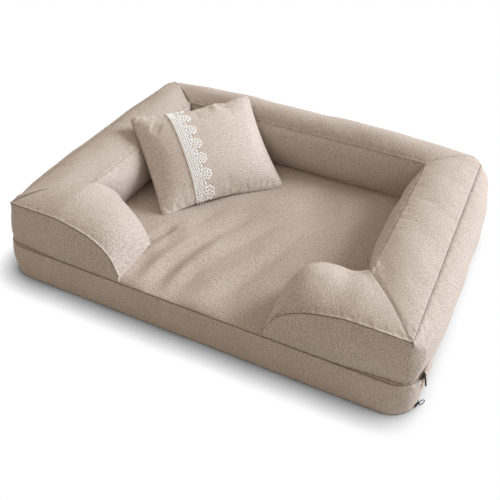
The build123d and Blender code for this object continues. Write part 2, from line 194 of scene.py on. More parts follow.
floor_material = bpy.data.materials.new("studio_floor")
floor_material.use_nodes = True
tree = floor_material.node_tree
tree.nodes.clear()
matte = add_node(tree, "ShaderNodeBsdfDiffuse", {"Color": (floor_grey, floor_grey, floor_grey, 1)})
# Painted shadow: the glow the camera sees is dimmed where the bed blocks a short ray towards the back right,
# and the lamps' own shadow on the floor is not seen
heading = add_node(tree, "ShaderNodeCombineXYZ", dict(enumerate(shadow_heading)))
hiding = {"Distance": shadow_reach, "Normal": heading}
hidden = add_node(tree, "ShaderNodeAmbientOcclusion", hiding, samples=shadow_samples)
level = add_node(tree, "ShaderNodeMapRange", {
    "Value": hidden.outputs["AO"],
    "From Min": shadow_range[0],
    "From Max": shadow_range[1],
    "To Min": shadow_depth,
})
glow = add_node(tree, "ShaderNodeEmission", {"Color": white, "Strength": level})
path = tree.nodes.new("ShaderNodeLightPath").outputs
mix = add_node(tree, "ShaderNodeMixShader", {"Fac": path["Is Camera Ray"], 1: matte, 2: glow})
add_node(tree, "ShaderNodeOutputMaterial", {"Surface": mix})

floor_mesh = bpy.data.meshes.new("studio_floor")
floor_mesh.from_pydata(
    [(x * floor_reach, y * floor_reach, 0) for x, y in ((-1, -1), (1, -1), (1, 1), (-1, 1))],
    [],
    [(0, 1, 2, 3)],
)
floor = bpy.data.objects.new("studio_floor", floor_mesh)
floor.data.materials.append(floor_material)
bpy.context.collection.objects.link(floor)
print("floor", floor.name)

# %% [markdown]
# ## Cloth
#
# The cloth is a plain-woven linen blend in heathered yarn. Close up it is a grid of
# threads, and from a step away it is a fine mottle with long pale and dark slubs
# both ways. The pattern is drawn on each panel's own UV map, in metres, so that
# threads run with the panel. One group makes the mottle and the height, and each
# material gives it its own colours.

# %% Helpers for shader groups
def noise_node(tree, vector, stretch, scale, detail):
    """Noise whose grain is stretched along X or Y of a map in metres."""
    place = add_node(tree, "ShaderNodeMapping", {"Vector": vector, "Scale": stretch})
    grain = add_node(tree, "ShaderNodeTexNoise", {"Vector": place, "Scale": scale, "Detail": detail})
    return grain.outputs["Fac"]


def mix_colour(tree, share, first, second):
    return add_node(tree, "ShaderNodeMix", {0: share, 6: first, 7: second}, data_type="RGBA").outputs[2]


print("shader helpers ready")

# %% Woven heather group
thread_pitch = 0.0011
weave_height = 0.35
slub_grain, mottle_grain, cloud_grain = 420, 330, 14
warp_stretch, weft_stretch, even = (1.0, 0.07, 1.0), (0.12, 1.0, 1.0), (1.0, 1.0, 1.0)
warp_strength, weft_strength, mottle_strength, cloud_strength = 0.8, 1.5, 4.8, 0.35


def woven_heather():
    """Colour of the two yarns at each place of the map, and how high the threads lie."""
    tree, given = new_group(
        "woven_heather",
        "ShaderNodeTree",
        (
            ("Map", "NodeSocketVector"),
            ("Pale yarn", "NodeSocketColor", (0.6, 0.5, 0.45, 1)),
            ("Dark yarn", "NodeSocketColor", (0.4, 0.3, 0.25, 1)),
            ("Slub", "NodeSocketFloat", 1.0),
        ),
        (("Colour", "NodeSocketColor"), ("Height", "NodeSocketFloat")),
    )

    def swing(stretch, grain, detail, strength):
        """Noise about zero, times its strength."""
        grain = noise_node(tree, given["Map"], stretch, grain, detail)
        return math_node(tree, "MULTIPLY", math_node(tree, "SUBTRACT", grain, 0.5), strength)

    warp = swing(warp_stretch, slub_grain, 2, given["Slub"])
    warp = math_node(tree, "MULTIPLY_ADD", warp, warp_strength, 0.5)
    share = math_node(tree, "ADD", warp, swing(weft_stretch, slub_grain, 2, weft_strength))
    share = math_node(tree, "ADD", share, swing(even, mottle_grain, 3, mottle_strength))
    share = math_node(tree, "ADD", share, swing(even, cloud_grain, 2, cloud_strength), clamp=True)
    colour = mix_colour(tree, share, given["Dark yarn"], given["Pale yarn"])
    split = add_node(tree, "ShaderNodeSeparateXYZ", {0: given["Map"]}).outputs
    turn = 2 * math.pi / thread_pitch
    along = math_node(tree, "SINE", math_node(tree, "MULTIPLY", split["X"], turn))
    over = math_node(tree, "SINE", math_node(tree, "MULTIPLY", split["Y"], turn))
    weave = math_node(tree, "MULTIPLY", math_node(tree, "MULTIPLY", along, over), weave_height)
    height = math_node(tree, "ADD", weave, share)
    add_node(tree, "NodeGroupOutput", {"Colour": colour, "Height": height})
    return tree


heather_tree = woven_heather()
print("group", heather_tree.name, "threads", thread_pitch)

# %% [markdown]
# Seams show as a thin dark line with the cloth pulled in beside it. Each cover
# carries an attribute, its distance from the nearest stitch line, and one group
# turns that into the dark line, which is the thread with painted shade in the seam's gap, and a band of
# painted shade next to it.

# %% Stitched edge group
seam_line = 0.0012
seam_shadow = 0.0045
seam_shadow_strength = 0.18


def stitched_edge():
    tree, given = new_group(
        "stitched_edge",
        "ShaderNodeTree",
        (
            ("Colour", "NodeSocketColor", (0.5, 0.5, 0.5, 1)),
            ("Line", "NodeSocketColor", (0.1, 0.08, 0.06, 1)),
            ("Depth", "NodeSocketFloat", 1.0),
        ),
        (("Colour", "NodeSocketColor"),),
    )
    reach = add_node(tree, "ShaderNodeAttribute", attribute_name="seam_gap").outputs["Fac"]

    def near(width):
        span = {"Value": reach, "From Min": width, "From Max": 0}
        return add_node(tree, "ShaderNodeMapRange", span, interpolation_type="SMOOTHSTEP")

    # The line is the dark thread together with painted shade in the seam's gap, and the band beside it is
    # painted shade
    line = math_node(tree, "MULTIPLY", near(seam_line), given["Depth"], clamp=True)
    shade = math_node(tree, "MULTIPLY", near(seam_shadow), seam_shadow_strength)
    colour = mix_colour(tree, shade, given["Colour"], given["Line"])
    colour = mix_colour(tree, line, colour, given["Line"])
    add_node(tree, "NodeGroupOutput", {"Colour": colour})
    return tree


edge_tree = stitched_edge()
print("group", edge_tree.name)

# %% [markdown]
# The mattress top is the same cloth made a little darker, as painted shade for the
# bolster's shadow over it. The pillow is a paler linen with fainter slubs.

# %% Linen materials
linen_finish = {
    "Roughness": 0.93,
    "Specular IOR Level": 0.12,
    "Sheen Weight": 0.25,
    "Sheen Roughness": 0.5,
    "Sheen Tint": (0.9, 0.82, 0.78, 1),
}
thread_bump = {"Strength": 0.35, "Distance": 0.0004}


def linen(name, pale, dark, line, slub=1.0):
    material = new_material(name, linen_finish)
    tree = material.node_tree
    surface = tree.nodes["Principled BSDF"].inputs
    threads = add_node(tree, "ShaderNodeUVMap", uv_map="threads")
    yarns = {"Map": threads, "Pale yarn": (*pale, 1), "Dark yarn": (*dark, 1), "Slub": slub}
    weave = add_node(tree, "ShaderNodeGroup", yarns, node_tree=heather_tree).outputs
    stitches = {"Colour": weave["Colour"], "Line": (*line, 1)}
    edge = add_node(tree, "ShaderNodeGroup", stitches, node_tree=edge_tree)
    bump = add_node(tree, "ShaderNodeBump", {"Height": weave["Height"], **thread_bump})
    tree.links.new(edge.outputs["Colour"], surface["Base Color"])
    tree.links.new(bump.outputs[0], surface["Normal"])
    return material


bed_linen = linen("bed_linen", (0.61, 0.545, 0.51), (0.425, 0.366, 0.335), (0.10, 0.07, 0.055))
pillow_linen = linen("pillow_linen", (0.67, 0.605, 0.575), (0.485, 0.425, 0.39), (0.12, 0.09, 0.07), 0.6)
# Painted shade: the mattress top's cloth is darker to stand for the shadow the bolster casts on it
painted_shade_linen = linen("painted_shade_linen", (0.565, 0.495, 0.455), (0.385, 0.325, 0.292), (0.10, 0.07, 0.055))
underside_cloth = linen("underside_cloth", (0.30, 0.27, 0.25), (0.20, 0.18, 0.165), (0.05, 0.04, 0.035))
print("cloths", bed_linen.name, pillow_linen.name, painted_shade_linen.name, underside_cloth.name)

# %% [markdown]
# ## Outlines of the stuffed pieces
#
# Across a run, the bolster is four sewn panels: outer wall, top, inner wall and
# bottom. All but the bottom bow outwards along an arc. The rows crowd together beside the seams,
# where the cloth turns most. The sizes are the sewn sizes of the real covers.

# %% Sewn sizes, in metres
base_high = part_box("base_side_band")[1]
base_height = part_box("back_bottom_lining")[0].z
outer_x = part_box("right_arm_top")[1].x
inner_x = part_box("right_arm_top")[0].x
outer_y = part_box("back_top")[1].y
inner_back_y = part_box("back_top")[0].y
wing_width = 0.133
inner_front_y = wing_width - outer_y
outer_seam_height = 0.178
inner_seam_height = 0.185
corner_crown = 0.014
back_crown = 0.029
arm_flare = 0.029
back_flare = 0.015
wing_flare = 0.015
inner_lean = 0.010
arm_wall_bulge = 0.028
back_wall_bulge = 0.022
wing_wall_bulge = 0.013
inner_wall_bulge = 0.021
corner_flare_share = 0.55
corner_bulge_share = 0.35
inner_bulge_share = 0.3
wing_foot_depth = 0.206
wing_slope_bulge = 0.012
wing_tip_x = 0.155
wing_reach_shares = (0.21, 0.45, 0.68, 0.84, 0.93, 0.98, 1.0)
wing_height_shares = (0.945, 0.86, 0.72, 0.53, 0.33, 0.18, 0.12)
wing_depth_shares = (0.92, 0.83, 0.72, 0.63, 0.58, 0.55, 0.53)
hump_shares = {
    "left": (0.245, 0.26, 0.28, 0.27, 0.22, 0.15, 0.08),
    "right": (0.26, 0.345, 0.44, 0.455, 0.41, 0.3, 0.14),
}
wing_end_bulge_share = 0.12
wall_height = outer_seam_height - base_height
print("outer seams", round(outer_x, 3), round(outer_y, 3))
print("inner seams", round(inner_x, 3), round(inner_back_y, 3))

# %% Bowed sides
wall_rows, top_rows, inner_rows, bottom_rows = 22, 22, 20, 14
side_rows = (wall_rows, top_rows, inner_rows, bottom_rows)
crowding = 0.62


def crowded(steps):
    """Shares from 0 to 1 that lie closer together at both ends."""
    return steps - crowding * np.sin(2 * np.pi * steps) / (2 * np.pi)


def bowed_side(start, end, bulge, rows):
    """Points from start up to the end, without it, along an arc or a straight line."""
    start, end = np.array(start), np.array(end)
    shares = crowded(np.arange(rows) / rows)
    run, rise = end - start
    if bulge == 0:
        return start + shares[:, None] * (end - start)
    length = math.hypot(run, rise)
    half_turn = 2 * math.atan(2 * bulge / length)
    radius = length / 2 / math.sin(half_turn)
    turns = half_turn * (2 * shares - 1)
    along = (1 + np.sin(turns) / math.sin(half_turn)) / 2
    proud = radius * (np.cos(turns) - math.cos(half_turn)) / length
    return np.stack((start[0] + run * along + rise * proud, start[1] + rise * along - run * proud), 1)


def outline_of(corners, bulges):
    sides = []
    for i, (bulge, rows) in enumerate(zip(bulges, side_rows)):
        sides.append(bowed_side(corners[i], corners[(i + 1) % 4], bulge, rows))
    return np.concatenate(sides)


def grown(corner_share, full):
    """From its share at a mitre to one where the run is full."""
    return corner_share + (1 - corner_share) * full


def run_outline(run, full):
    """Outline across an arm or the back: columns are distance outwards and height."""
    spread, bulge = grown(corner_flare_share, full), grown(corner_bulge_share, full)
    inner = grown(inner_bulge_share, full)
    crown = corner_crown + (run["crown"] - corner_crown) * full
    corners = (
        (run["outer"] + run["flare"] * spread, base_height),
        (run["outer"], outer_seam_height),
        (run["inner"], inner_seam_height),
        (run["inner"] - inner_lean, base_height),
    )
    return outline_of(corners, (run["bulge"] * bulge, crown, inner_wall_bulge * inner, 0))


run_names = ("inner", "outer", "flare", "bulge", "crown")
arm_run = dict(zip(run_names, (inner_x, outer_x, arm_flare, arm_wall_bulge, corner_crown)))
back_run = dict(zip(run_names, (inner_back_y, outer_y, back_flare, back_wall_bulge, back_crown)))
print("rows round a run", sum(side_rows))

# %% Wing outlines
def wing_root_outline(full):
    spread, bulge = grown(corner_flare_share, full), grown(corner_bulge_share, full)
    corners = (
        (outer_y + wing_flare * spread, base_height),
        (outer_y, outer_seam_height),
        (-inner_front_y, inner_seam_height),
        (outer_y - wing_foot_depth, base_height),
    )
    return outline_of(corners, (wing_wall_bulge * bulge, corner_crown, wing_slope_bulge, 0))


def wing_end_outline(height_share, depth_share, hump_share):
    """Outline nearer the tip: a low front wall and one hump down to the mattress."""
    front = (outer_y + wing_flare * (1 - height_share), base_height + wall_height * height_share)
    foot = (outer_y - wing_foot_depth * depth_share, base_height)
    run, rise = foot[0] - front[0], foot[1] - front[1]
    chord = math.hypot(run, rise)
    bulge = hump_share * chord
    middle = (
        (front[0] + foot[0]) / 2 + bulge * rise / chord,
        (front[1] + foot[1]) / 2 - bulge * run / chord,
    )
    radius = (chord**2 / 4 + bulge**2) / (2 * bulge)
    half = math.hypot(middle[0] - front[0], middle[1] - front[1])
    half_bulge = radius - math.sqrt(radius**2 - half**2 / 4)
    corners = ((outer_y + wing_flare, base_height), front, middle, foot)
    wall = wing_end_bulge_share * wall_height * height_share
    return outline_of(corners, (wall, half_bulge, half_bulge, 0))


wing_knots = [0.0, *wing_reach_shares]


def wing_outlines(side):
    rows = zip(wing_height_shares, wing_depth_shares, hump_shares[side])
    return [wing_root_outline(1.0)] + [wing_end_outline(*row) for row in rows]


def smooth_between(knots, values, at):
    """Smooth curve through the values at the knots."""
    knots, values = np.array(knots), np.array(values)
    i = int(np.clip(np.searchsorted(knots, at) - 1, 0, len(knots) - 2))
    slopes = np.diff(values, axis=0) / np.diff(knots)[:, None]
    before = slopes[max(i - 1, 0)]
    after = slopes[min(i + 1, len(slopes) - 1)]
    start_slope = (before + slopes[i]) / 2
    end_slope = (slopes[i] + after) / 2
    width = knots[i + 1] - knots[i]
    t = (at - knots[i]) / width
    return (
        values[i] * (1 + 2 * t) * (1 - t) ** 2
        + values[i + 1] * t**2 * (3 - 2 * t)
        + width * (start_slope * t * (1 - t) ** 2 - end_slope * t**2 * (1 - t))
    )


print("wing outlines", len(wing_outlines("left")))

# %% [markdown]
# ## Grids
#
# A grid piece is a table of points, with rows along the piece and columns round it.
# Two runs meet at a mitre: the point of each column takes its place across from
# one run and its place along from the other, so both pieces share that seam.

# %% Grid pieces
arm_end = run_outline(arm_run, 0)
back_end = run_outline(back_run, 0)
wing_end = wing_root_outline(0)
side_starts = np.cumsum((0, *side_rows[:-1]))
outer_foot, outer_seam, inner_seam, inner_foot = side_starts
corner_round = 0.034
corner_foot_share = 0.6
back_round = 0.038
tiny = 1e-6


def round_off(points, outward, along, ends):
    """Round the upright corners of the outer wall, all but the top edge."""
    share = (points[:, :wall_rows, 2] - base_height) / wall_height
    fade = np.clip(3 - 3 * share, 0, 1) ** 0.7
    radius = corner_round * fade * (corner_foot_share + np.clip(share, 0, 1 - corner_foot_share)) + tiny
    for end, sign in ends:
        gone = (points[:, :wall_rows, along] - points[end, :wall_rows, along]) * sign
        turn = np.clip(1 - gone / radius, 0, 1) * math.pi / 4
        inside = gone < radius
        inward = radius * (1 - np.cos(turn))
        moved = radius - radius * np.sin(turn) - gone
        axis, towards = outward
        points[:, :wall_rows, axis] -= np.where(inside, inward, 0) * towards
        points[:, :wall_rows, along] += np.where(inside, moved, 0) * sign
    return points


def round_back(points):
    """Round the two back corners as seen from above, seams and tops too."""
    x, y = points[..., 0], points[..., 1]
    start_x, start_y = outer_x - back_round, outer_y - back_round
    past_x, past_y = np.abs(x) - start_x, y - start_y
    corner = (past_x > 0) & (past_y > 0)
    reach = np.maximum(np.maximum(past_x, past_y), tiny)
    share = np.minimum(past_x, past_y) / reach
    turn = np.where(past_x >= past_y, share, 2 - share) * math.pi / 4
    points[..., 0] = np.where(corner, np.sign(x) * (start_x + reach * np.cos(turn)), x)
    points[..., 1] = np.where(corner, start_y + reach * np.sin(turn), y)
    return points


full_power, lift_power, root_fade_power = 4, 8, 12


def arm_grid(rows):
    """Points of the right arm, from its front mitre to its back mitre."""
    shares = crowded(np.arange(rows + 1) / rows)
    front, rear = -wing_end[:, 0], back_end[:, 0]
    front_lift = (wing_end[:, 1] - arm_end[:, 1]) / 2
    rear_lift = (back_end[:, 1] - arm_end[:, 1]) / 2
    points = []
    for share in shares:
        along = 2 * share - 1
        outline = run_outline(arm_run, 1 - along**full_power)
        y = front + (rear - front) * share
        z = outline[:, 1] + (front_lift if along < 0 else rear_lift) * along**lift_power
        points.append(np.stack((outline[:, 0], y, z), 1))
    return round_back(round_off(np.array(points), (0, 1), 1, ((0, 1),)))


def back_grid(rows):
    """Points of the back, from its left mitre to its right mitre."""
    shares = crowded(np.arange(rows + 1) / rows)
    lift = (arm_end[:, 1] - back_end[:, 1]) / 2
    points = []
    for share in shares:
        along = 2 * share - 1
        outline = run_outline(back_run, 1 - along**full_power)
        z = outline[:, 1] + lift * along**lift_power
        points.append(np.stack((arm_end[:, 0] * along, outline[:, 0], z), 1))
    return round_back(np.array(points))


root_steps = 60
wing_root_outlines = [wing_root_outline(i / root_steps) for i in range(root_steps + 1)]
wing_steps = 240


def wing_grid(rows, side):
    """Points of one wing as if it were the right one, from its mitre to its tip."""
    flat = [outline.ravel() for outline in wing_outlines(side)]
    wing_table = [
        smooth_between(wing_knots, flat, i / wing_steps).reshape(-1, 2) for i in range(wing_steps + 1)
    ]
    shares = crowded(np.arange(rows + 1) / rows)
    root_x = arm_end[:, 0]
    lift = (arm_end[:, 1] - wing_end[:, 1]) / 2
    root = np.stack((wing_end[:, 0], wing_end[:, 1] + lift), 1)
    drawn = None
    points = []
    for share in shares:
        x = root_x + (wing_tip_x - root_x) * share
        place = np.zeros((len(x), 2))
        for c in range(len(x)):
            reach = (inner_x - x[c]) / (inner_x - wing_tip_x)
            if reach < 0:
                near = min(1.0, max(0.0, (outer_x - x[c]) / (outer_x - inner_x)))
                place[c] = wing_root_outlines[int(round(near * root_steps))][c]
            else:
                place[c] = wing_table[int(round(min(reach, 1.0) * wing_steps))][c]
        if drawn is None:
            drawn = root - place
        place = place + drawn * (1 - share) ** root_fade_power
        points.append(np.stack((x, -place[:, 0], place[:, 1]), 1))
    return round_off(np.array(points), (1, -1), 0, ((0, -1),))


print("mitre columns", len(arm_end))

# %% [markdown]
# ## Covers
#
# A cover is a closed mesh of its grid with a cap at each end, inside the bed. It
# carries a thread map in metres and its distance from the seams. Stitching pulls
# the cloth in along a seam and lifts it just beside it, and the cloth puckers
# there, so the points are moved in and out along their normals before shading.

# %% Ripples
def ripple(places, seed, wave, waves=9):
    """Smooth seeded noise of about one unit over points, with the given wavelength."""
    dice = np.random.default_rng(seed)
    heading = dice.normal(size=(waves, places.shape[1]))
    heading /= np.linalg.norm(heading, axis=1)[:, None]
    pace = 2 * np.pi / (wave * dice.uniform(0.7, 1.6, waves))
    phase = dice.uniform(0, 2 * np.pi, waves)
    return np.sin(places @ (heading * pace[:, None]).T + phase).sum(axis=1) / math.sqrt(waves / 2)


def hill(distance, width):
    """One at no distance, falling off like a bell over the width."""
    return np.exp(-((distance / width) ** 2))


groove_depth, groove_width = 0.0017, 0.0024
ridge_height, ridge_place, ridge_width = 0.0007, 0.0055, 0.003
pucker_height, pucker_wave, pucker_reach, pucker_start = 0.0008, 0.011, 0.009, 0.002


def seam_relief(gap, places, seed):
    """Stitches sink the cloth, lift it beside them and gather it into puckers."""
    groove = -groove_depth * hill(gap, groove_width)
    ridge = ridge_height * hill(gap - ridge_place, ridge_width)
    gathers = pucker_height * ripple(places, seed, pucker_wave) * np.exp(-gap / pucker_reach)
    return groove + ridge + gathers * (1 - hill(gap, pucker_start))


def grid_normals(points):
    """Normals of a table of points that wraps round its columns."""
    across = np.roll(points, -1, axis=1) - np.roll(points, 1, axis=1)
    normals = np.cross(np.gradient(points, axis=0), across)
    length = np.linalg.norm(normals, axis=2, keepdims=True)
    return normals / np.maximum(length, 1e-12)


print("relief", groove_depth, ridge_height)

# %% Mesh from tables
def new_piece(name, points, faces, corner_map, gap, materials, face_slots=None, sharp=()):
    mesh = bpy.data.meshes.new(name)
    mesh.from_pydata([tuple(p) for p in points], [], faces)
    threads = mesh.uv_layers.new(name="threads")
    threads.data.foreach_set("uv", np.array(corner_map, dtype=np.float32).ravel())
    reach = mesh.attributes.new("seam_gap", "FLOAT", "POINT")
    reach.data.foreach_set("value", np.array(gap, dtype=np.float32))
    for material in materials:
        mesh.materials.append(material)
    if face_slots is not None:
        mesh.polygons.foreach_set("material_index", face_slots)
    mesh.polygons.foreach_set("use_smooth", [True] * len(faces))
    mesh.update()
    if sharp:
        hard = {frozenset(pair) for pair in sharp}
        for edge in mesh.edges:
            if frozenset(edge.vertices) in hard:
                edge.use_edge_sharp = True
    piece = bpy.data.objects.new(name, mesh)
    bpy.context.collection.objects.link(piece)
    return piece


def outline_places(points):
    """Distance round each row of a closed table, one column longer than the table."""
    closed = np.concatenate((points, points[:, :1]), axis=1)
    steps = np.linalg.norm(np.diff(closed, axis=1), axis=2)
    return np.concatenate((np.zeros((len(points), 1)), np.cumsum(steps, axis=1)), axis=1)


print("mesh maker ready")

# %% [markdown]
# One function makes all five runs of the bolster. The tops dip where they meet at a
# mitre, the stitches make their relief, folds are added, and the left side is the
# right one mirrored. The right arm also leaves a groove in which the zip runs.

# %% Cover of one run
inner_faintness = 0.0006
mitre_faintness, mitre_tick, mitre_slant = 0.0013, 0.014, 0.72
mitre_depth, mitre_width, mitre_calm = 0.0004, 0.0035, 0.006
mitre_dip, mitre_dip_reach = 0.009, 0.055
sag_height, sag_wave, sag_start = 0.0009, 0.11, 0.03
foot_margin = 0.001
groove_room = 0.0012
panel_shift = 0.371


def run_cover(name, points, seams, along_axis, mirrored, seed, folds=(), mitres=(1, 1), groove=None):
    """A closed cover from a table of rows along the run and columns round it."""
    rows, columns, _ = points.shape
    along = points[:, :, along_axis]
    crest = np.zeros(columns)
    crest[outer_seam:inner_seam] = np.sin(np.pi * np.arange(top_rows) / top_rows)
    for end, sewn in zip((0, -1), mitres):
        points[:, :, 2] -= sewn * mitre_dip * crest * hill(along - along[end], mitre_dip_reach)
    around = outline_places(points)
    gaps = []
    for seam in seams:
        gap = np.abs(around[:, :-1] - around[:, seam : seam + 1])
        gap = np.minimum(gap, around[:, -1:] - gap)
        gaps.append(gap + inner_faintness if seam == inner_seam else gap)
    gap = np.min(gaps, axis=0)
    places = points.reshape(-1, 3)
    normals = grid_normals(points)
    relief = seam_relief(gap.ravel(), places, seed).reshape(rows, columns)
    sags = sag_height * ripple(places, seed + 1, sag_wave).reshape(rows, columns)
    relief += sags * np.minimum(gap / sag_start, 1)
    for end, sewn in zip((0, -1), mitres):
        if sewn:
            reach = np.abs(along - along[end]) * mitre_slant
            relief *= 1 - hill(reach, mitre_calm)
            relief -= sewn * mitre_depth * hill(reach, mitre_width)
            drop = np.clip(outer_seam_height - mitre_tick - points[:, :, 2], 0, 1)
            drop[:, wall_rows:] = 0
            gap = np.minimum(gap, reach + drop + mitre_faintness * (1 - sewn))
    for fold in folds:
        relief += fold(points)
    relief *= (points[:, :, 2] > base_height + foot_margin)
    points = points + normals * relief[:, :, None]
    points[:, :, 2] = np.maximum(points[:, :, 2], base_height)
    if groove:
        low, high = groove
        inside = (points[:, :, 0] > low.x) & (points[:, :, 2] < high.z + groove_room)
        inside &= (points[:, :, 1] > low.y) & (points[:, :, 1] < high.y)
        points[:, :, 0] = np.where(inside, low.x - groove_room, points[:, :, 0])
    panel = np.searchsorted(side_starts, np.arange(columns), side="right")
    faces, corner_map = [], []
    for r in range(rows - 1):
        for c in range(columns):
            d = (c + 1) % columns
            face = [(r, c), (r, d), (r + 1, d), (r + 1, c)]
            shift = panel_shift * panel[c]
            uv = [
                (around[r, c] + shift, along[r, c]),
                (around[r, c + 1] + shift, along[r, d]),
                (around[r + 1, c + 1] + shift, along[r + 1, d]),
                (around[r + 1, c] + shift, along[r + 1, c]),
            ]
            if mirrored:
                face, uv = face[::-1], uv[::-1]
            faces.append([i * columns + j for i, j in face])
            corner_map.extend(uv)
    for r, back in ((0, True), (rows - 1, False)):
        ring = [r * columns + c for c in range(columns)]
        faces.append(ring[::-1] if back != mirrored else ring)
        corner_map.extend([(0, 0)] * columns)
    flat = points.reshape(-1, 3).copy()
    if mirrored:
        flat[:, 0] *= -1
    last = (rows - 1) * columns
    rings = [(base + c, base + (c + 1) % columns) for base in (0, last) for c in range(columns)]
    return new_piece(name, flat, faces, corner_map, gap.ravel(), [bed_linen], sharp=rings)


def facing_out(piece):
    """Turn the faces over if the closed mesh has its normals inward."""
    mesh = piece.data
    mesh.calc_loop_triangles()
    volume = 0.0
    for tri in mesh.loop_triangles:
        a, b, c = (mesh.vertices[i].co for i in tri.vertices)
        volume += a.dot(b.cross(c))
    if volume < 0:
        mesh.flip_normals()
    return piece


print("cover maker ready")

# %% [markdown]
# A real cover is cut a little larger than its filling, so the slack cloth finds small
# wrinkles between its seams. A short cloth simulation with pressure inside does the
# same. The stitches are held, and no point may move more than a few millimetres, so
# that the cover stays where its solid is.

# %% Settling
settle_frames = 20
least_held, whole_hold = 0.01, 1.35
slack_linen = {
    "vertex_group_mass": "held",
    "pin_stiffness": 5,
    "quality": 5,
    "mass": 0.25,
    "tension_stiffness": 18,
    "compression_stiffness": 12,
    "shear_stiffness": 6,
    "bending_stiffness": 0.35,
    "use_pressure": True,
    "uniform_pressure_force": 4.0,
}


def settle(piece, held, growth, cap):
    """Let the slack cloth of a closed piece find its own folds between its seams."""
    mesh = piece.data
    before = np.empty(len(mesh.vertices) * 3)
    mesh.vertices.foreach_get("co", before)
    before = before.reshape(-1, 3)
    group = piece.vertex_groups.new(name="held")
    for i, weight in enumerate(held):
        if weight > least_held:
            group.add([i], float(weight), "REPLACE")
    cloth = piece.modifiers.new("cloth", "CLOTH")
    for setting, value in slack_linen.items():
        setattr(cloth.settings, setting, value)
    cloth.settings.shrink_min = -growth
    cloth.settings.effector_weights.gravity = 0
    cloth.collision_settings.use_collision = False
    cloth.point_cache.frame_start = 1
    cloth.point_cache.frame_end = settle_frames
    scene = bpy.context.scene
    for frame_number in range(1, settle_frames + 1):
        scene.frame_set(frame_number)
    solved = piece.evaluated_get(bpy.context.evaluated_depsgraph_get()).data
    after = np.empty(len(mesh.vertices) * 3)
    solved.vertices.foreach_get("co", after)
    piece.modifiers.remove(cloth)
    piece.vertex_groups.remove(group)
    scene.frame_set(1)
    move = after.reshape(-1, 3) - before
    length = np.linalg.norm(move, axis=1)
    move *= np.minimum(1, cap / np.maximum(length, 1e-9))[:, None]
    mesh.vertices.foreach_set("co", (before + move).ravel())
    mesh.update()
    return float(length.max())


def seam_hold(piece, reach=0.0025):
    """Held weights: whole at the stitches, none beyond their reach."""
    gap = np.empty(len(piece.data.vertices))
    piece.data.attributes["seam_gap"].data.foreach_get("value", gap)
    return np.clip(whole_hold - gap / reach, 0, 1)


print("settling ready")

# %% [markdown]
# ## Bolster
#
# Two arms, the back and two wings. Arms and back have a seam along both top edges;
# the wings have one along the front only, and their tops run down to the mattress.
# The back's inner wall has a few soft upright folds. Each is a path on the cloth with
# a width and a depth, which is easier to place than a sculpted dent.

# %% Folds
fold_end_share = 0.15


def crease(path, width, depth):
    """A soft fold along a path: negative depth sinks it, both ends fade out."""
    path = np.array(path, dtype=float)

    def relief(points):
        flat = points.reshape(-1, points.shape[-1])[:, : path.shape[1]]
        nearest = np.full(len(flat), 1e9)
        place = np.zeros(len(flat))
        lengths = np.linalg.norm(np.diff(path, axis=0), axis=1)
        total = lengths.sum()
        gone = 0.0
        for start, end, length in zip(path, path[1:], lengths):
            share = np.clip((flat - start) @ (end - start) / length**2, 0, 1)
            away = np.linalg.norm(flat - start - share[:, None] * (end - start), axis=1)
            closer = away < nearest
            nearest = np.where(closer, away, nearest)
            place = np.where(closer, (gone + share * length) / total, place)
            gone += length
        fade = np.clip(np.minimum(place, 1 - place) * 4, 0, 1)
        fade = fold_end_share + (1 - fold_end_share) * fade * fade * (3 - 2 * fade)
        return (depth * hill(nearest, width) * fade).reshape(points.shape[:-1])

    return relief


top_tilt = 0.004


def tilted_top(points):
    """Filling pushed outwards under the top panel, so that the top leans inwards."""
    columns = np.zeros(points.shape[1])
    columns[outer_seam:inner_seam] = np.sin(2 * np.pi * np.arange(top_rows) / top_rows)
    return np.tile(top_tilt * columns, (points.shape[0], 1))


back_folds = (
    crease(((-0.06, 0.215, 0.18), (-0.05, 0.205, 0.09)), 0.012, -0.003),
    crease(((-0.01, 0.215, 0.18), (0.0, 0.205, 0.09)), 0.016, 0.003),
    crease(((0.05, 0.215, 0.18), (0.055, 0.205, 0.09)), 0.012, -0.003),
    crease(((0.20, 0.215, 0.18), (0.22, 0.205, 0.09)), 0.014, -0.002),
)
print("folds on the back", len(back_folds))

# %% Bolster covers
side_rows_along, back_rows_along, wing_rows_along = 190, 240, 120
arm_seams = (outer_foot, outer_seam, inner_seam, inner_foot)
wing_seams = (outer_foot, outer_seam, inner_foot)
back_mitre = 0.15
slack, furthest_move, foot_held = 0.0025, 0.002, 0.003
bolster = []
for side, mirrored, front_mitre, seed, folds, groove in (
    ("right", False, 1, 11, (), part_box("bolster_zip_chain")),
    ("left", True, 0.2, 31, (tilted_top,), None),
):
    arm = run_cover(
        f"{side}_arm_cover", arm_grid(side_rows_along), arm_seams, 1, mirrored, seed,
        folds, (front_mitre, back_mitre), groove,
    )
    wing = run_cover(
        f"{side}_wing_cover", wing_grid(wing_rows_along, side), wing_seams, 0, mirrored, seed + 6,
        mitres=(front_mitre, 0),
    )
    panels = ("outer_wall", "top", "inner_wall", "bottom_lining", "filling")
    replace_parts(facing_out(arm), *(f"{side}_arm_{p}" for p in panels))
    panels = ("face", "top", "bottom_lining", "filling")
    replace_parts(facing_out(wing), *(f"{side}_wing_{p}" for p in panels))
    bolster += [arm, wing]
back = run_cover(
    "back_cover", back_grid(back_rows_along), arm_seams, 0, False, 61, back_folds, (back_mitre, back_mitre)
)
panels = ("outer_wall", "top", "inner_wall", "bottom_lining", "filling")
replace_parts(facing_out(back), *(f"back_{p}" for p in panels))
bolster.append(back)
for piece in bolster:
    held = seam_hold(piece)
    level = np.array([v.co.z for v in piece.data.vertices])
    held = np.maximum(held, level < base_height + foot_held)
    print(piece.name, "moved", round(settle(piece, held, slack, furthest_move), 4))
    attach(piece, "bed")
print("bolster", [p.name for p in bolster])

